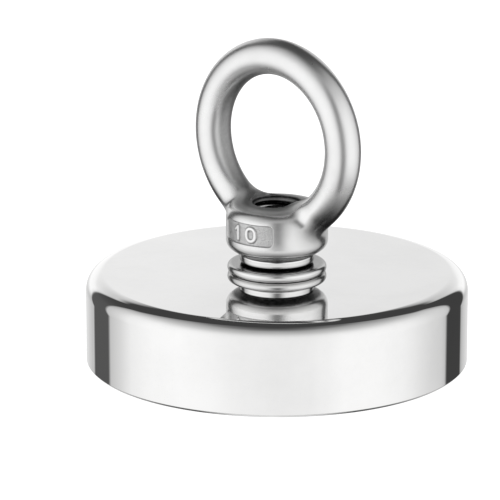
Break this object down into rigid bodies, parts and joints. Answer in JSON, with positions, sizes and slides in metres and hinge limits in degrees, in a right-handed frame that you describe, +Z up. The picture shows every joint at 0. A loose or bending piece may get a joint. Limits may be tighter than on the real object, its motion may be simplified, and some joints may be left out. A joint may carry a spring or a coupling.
{
  "type": "magnet fishing magnet",
  "caption": "Steel pot magnet that holds with its flat lower face, with a cast ring for a rope on a screw through its middle.",
  "frame": {"origin": "centre of the flat holding face, on the floor that the magnet stands on", "axes": "+Z up through the eye; the ring of the eye lies in the XZ plane and its hole looks along Y; the size panel faces -Y"},
  "size_m": [0.075, 0.075, 0.0644],
  "materials": {
    "pot_nickel": "mirror-bright nickel plating on steel",
    "magnet_nickel": "satin nickel plating on sintered neodymium",
    "adhesive": "cured adhesive film",
    "resin": "black cast epoxy, slightly sunk at its free face",
    "bush_steel": "turned steel, nickel plated",
    "screw_steel": "stainless steel, rolled thread",
    "washer_steel": "polished stainless steel",
    "spring_steel": "bright polished stainless steel",
    "eye_nut_steel": "cast stainless steel, polished to a soft shine"
  },
  "bodies": {
    "pot": {"pot_shell": "pot_nickel", "ring_magnet": "magnet_nickel", "magnet_bond": "adhesive", "outer_resin": "resin", "inner_resin": "resin", "centre_bush": "bush_steel", "flat_washer": "washer_steel"},
    "screw": {"socket_screw": "screw_steel"},
    "nut_carrier": {"spring_washer": "spring_steel"},
    "eye": {"eye_nut": "eye_nut_steel"}
  },
  "joints": [
    {"name": "screw_turn", "type": "hinge", "parent": "pot", "child": "screw", "pos_m": [0, 0, 0.012], "axis": [0, 0, 1], "continuous": true},
    {"name": "nut_lift", "type": "slide", "parent": "screw", "child": "nut_carrier", "axis": [0, 0, 1], "range_m": [0, 0.0075]},
    {"name": "eye_turn", "type": "hinge", "parent": "nut_carrier", "child": "eye", "pos_m": [0, 0, 0.0218], "axis": [0, 0, 1], "range_deg": [0, 1800]}
  ],
  "couplings": [
    {"joint": "nut_lift", "follows": "eye_turn", "m_per_rad": 0.00023873}
  ]
}
